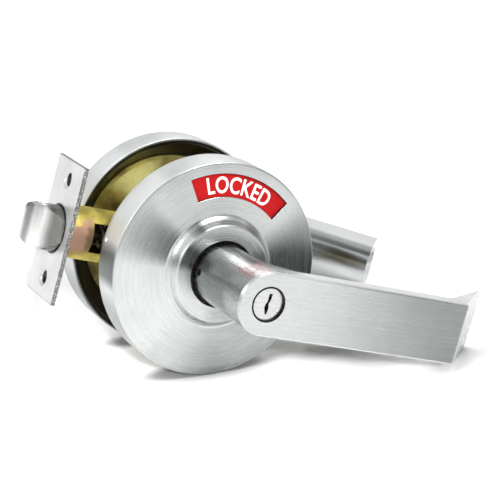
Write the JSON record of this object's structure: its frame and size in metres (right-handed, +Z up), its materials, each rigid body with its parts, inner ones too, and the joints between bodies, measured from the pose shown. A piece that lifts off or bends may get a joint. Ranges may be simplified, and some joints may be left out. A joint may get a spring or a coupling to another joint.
{
  "type": "indicator lever lock",
  "caption": "Bored door lock with two bent levers on round roses, a turning status disc behind a curved window, a keyed outside, a turn button inside and a sprung latch.",
  "frame": {"origin": "on the axis that the levers turn about, midway between the two roses, at the middle of the door", "axes": "+Y from the outside of the door to the inside, +X from the door's edge along the levers, +Z up"},
  "size_m": [0.1949, 0.1604, 0.0904],
  "materials": {
    "satin_chrome": "satin chrome plating, brushed",
    "yellow_zinc": "yellow zinc plating on pressed steel",
    "zinc_steel": "bright zinc plating",
    "spring_steel": "oiled spring wire",
    "nickel_brass": "nickel plated brass",
    "brass": "plain brass",
    "sign_red": "gloss paint",
    "nylon": "natural nylon"
  },
  "bodies": {
    "chassis": {"outside_rose": "satin_chrome", "inside_rose": "satin_chrome", "outside_liner": "yellow_zinc", "inside_liner": "yellow_zinc", "outside_hub": "yellow_zinc", "inside_hub": "yellow_zinc", "outside_hub_nut": "zinc_steel", "inside_hub_nut": "zinc_steel", "chassis_drum": "yellow_zinc", "retractor_guide": "zinc_steel", "spring_plate": "zinc_steel", "mounting_screws": "zinc_steel", "stop_pins": "zinc_steel", "latch_case": "yellow_zinc", "latch_spring_seat": "zinc_steel", "latch_faceplate": "satin_chrome", "latch_spring": "spring_steel", "retractor_springs": "spring_steel", "outside_return_spring": "spring_steel", "inside_return_spring": "spring_steel"},
    "outside_lever": {"outside_lever": "satin_chrome", "outside_spindle": "zinc_steel", "outside_spindle_clip": "spring_steel", "outside_rod_guide": "nylon", "cylinder_body": "nickel_brass", "outside_spring_driver": "zinc_steel", "outside_catch_spring": "spring_steel"},
    "inside_lever": {"inside_lever": "satin_chrome", "inside_spindle": "zinc_steel", "inside_spindle_clip": "spring_steel", "inside_rod_guide": "nylon", "inside_spring_driver": "zinc_steel", "inside_catch_spring": "spring_steel"},
    "key_plug": {"key_plug": "nickel_brass", "plug_tailpiece": "brass"},
    "turn_button": {"turn_button": "satin_chrome", "lock_rod": "zinc_steel", "indicator_crank": "zinc_steel"},
    "indicator": {"indicator_disc": "sign_red"},
    "retractor": {"retractor": "zinc_steel"},
    "latch": {"latch_bolt": "satin_chrome", "latch_tail": "zinc_steel"},
    "outside_catch": {"outside_lever_catch": "zinc_steel"},
    "inside_catch": {"inside_lever_catch": "zinc_steel"}
  },
  "joints": [
    {"name": "inside_lever_turn", "type": "hinge", "parent": "chassis", "child": "inside_lever", "pos_m": [0, 0, 0], "axis": [0, 1, 0], "range_deg": [0, 50], "stiffness_Nm_per_rad": 0.8, "springref_deg": -34.38, "deforming": ["inside_return_spring"]},
    {"name": "outside_lever_turn", "type": "hinge", "parent": "chassis", "child": "outside_lever", "pos_m": [0, 0, 0], "axis": [0, 1, 0], "range_deg": [0, 50], "stiffness_Nm_per_rad": 0.8, "springref_deg": -34.38, "deforming": ["outside_return_spring"]},
    {"name": "retractor_slide", "type": "slide", "parent": "chassis", "child": "retractor", "axis": [1, 0, 0], "range_m": [0, 0.0127], "deforming": ["retractor_springs"]},
    {"name": "latch_slide", "type": "slide", "parent": "chassis", "child": "latch", "axis": [1, 0, 0], "range_m": [0, 0.0127], "deforming": ["latch_spring"]},
    {"name": "turn_button_turn", "type": "hinge", "parent": "chassis", "child": "turn_button", "pos_m": [0, 0, 0], "axis": [0, 1, 0], "range_deg": [0, 90]},
    {"name": "indicator_turn", "type": "hinge", "parent": "chassis", "child": "indicator", "pos_m": [0, 0, 0], "axis": [0, 1, 0], "range_deg": [0, 90]},
    {"name": "key_plug_turn", "type": "hinge", "parent": "outside_lever", "child": "key_plug", "pos_m": [0, 0, 0], "axis": [0, 1, 0], "range_deg": [0, 90]},
    {"name": "outside_catch_press", "type": "slide", "parent": "outside_lever", "child": "outside_catch", "axis": [1, 0, 0], "range_m": [0, 0.0016], "stiffness_N_per_m": 800, "springref_m": -0.001, "deforming": ["outside_catch_spring"]},
    {"name": "inside_catch_press", "type": "slide", "parent": "inside_lever", "child": "inside_catch", "axis": [1, 0, 0], "range_m": [0, 0.0016], "stiffness_N_per_m": 800, "springref_m": -0.001, "deforming": ["inside_catch_spring"]}
  ],
  "couplings": [
    {"joint": "retractor_slide", "follows": "inside_lever_turn", "m_per_rad": 0.01455},
    {"joint": "latch_slide", "follows": "inside_lever_turn", "m_per_rad": 0.01455},
    {"joint": "indicator_turn", "follows": "turn_button_turn", "ratio": 1}
  ]
}
